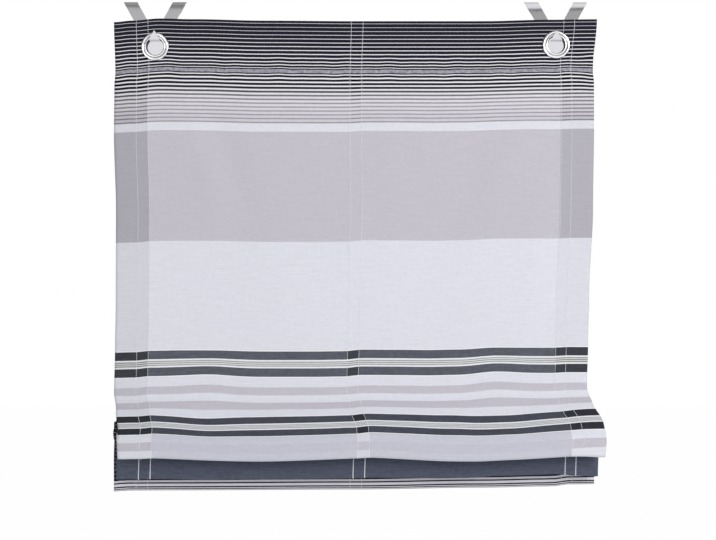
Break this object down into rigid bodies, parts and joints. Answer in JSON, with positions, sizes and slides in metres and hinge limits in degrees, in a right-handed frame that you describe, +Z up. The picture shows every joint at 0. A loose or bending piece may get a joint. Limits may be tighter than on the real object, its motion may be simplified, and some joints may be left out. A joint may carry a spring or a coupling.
{
  "type": "roman blind",
  "caption": "Soft roman blind: a striped cloth with an eyelet header on V-shaped sash hooks, drawn up into overlapping folds by ringed tapes, with a weight bar in its bottom hem.",
  "frame": {"origin": "on the top front edge of the sash that the hooks hang on, midway between the hooks", "axes": "+X along the sash to the right as seen from the room, +Y back towards the window, +Z up"},
  "size_m": [0.8, 0.0924, 0.812],
  "materials": {
    "cloth": "plain woven polyester, striped in white, lilac grey and dark slate",
    "stiffener": "stiff woven strip",
    "bar": "plain rolled flat bar",
    "tape": "white woven tape",
    "ring": "moulded, clear white",
    "hook": "bright nickel-plated sheet",
    "eyelet": "satin nickel-plated, pressed"
  },
  "bodies": {
    "root": {"blind_cloth": "cloth", "header_stiffener": "stiffener", "weight_bar": "bar", "left_gathering_tape": "tape", "centre_gathering_tape": "tape", "right_gathering_tape": "tape", "left_tape_rings": "ring", "centre_tape_rings": "ring", "right_tape_rings": "ring", "left_sash_hook": "hook", "right_sash_hook": "hook", "eyelet_fronts": "eyelet", "eyelet_backs": "eyelet"}
  },
  "joints": []
}
